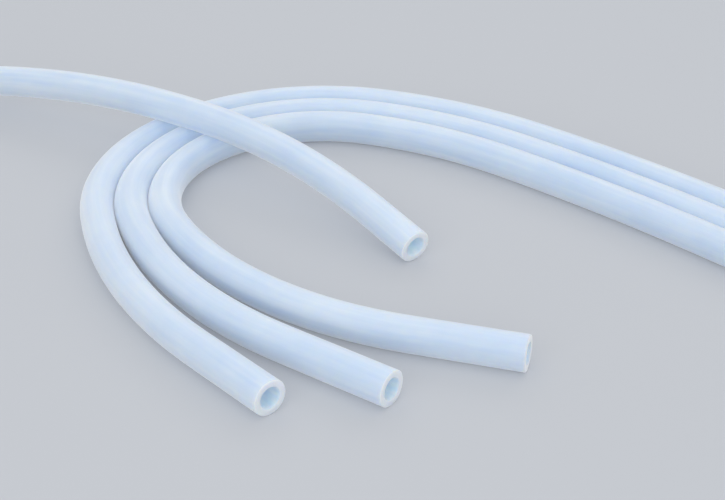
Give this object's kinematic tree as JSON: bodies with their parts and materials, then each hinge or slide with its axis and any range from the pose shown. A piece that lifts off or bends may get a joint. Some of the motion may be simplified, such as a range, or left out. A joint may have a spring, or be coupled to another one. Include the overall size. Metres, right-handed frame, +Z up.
{
  "type": "silicone tubing coil",
  "caption": "Loose coil of milky silicone laboratory tubing: cut lengths nested side by side in a flat U-shaped bend, with another length laid across them.",
  "frame": {"origin": "on the floor, under the centre of the coil's outline seen from above", "axes": "+X to the right in the picture, along the coil's longest extent, +Y away from the camera, +Z up from the floor that the coil lies on"},
  "size_m": [0.294, 0.1974, 0.0203],
  "materials": {
    "silicone": "milky translucent silicone rubber with a soft satin sheen, unpigmented, faintly blue in its depth"
  },
  "bodies": {
    "root": {"outer_tube": "silicone", "middle_tube": "silicone", "inner_tube": "silicone", "crossing_tube": "silicone"}
  },
  "joints": []
}
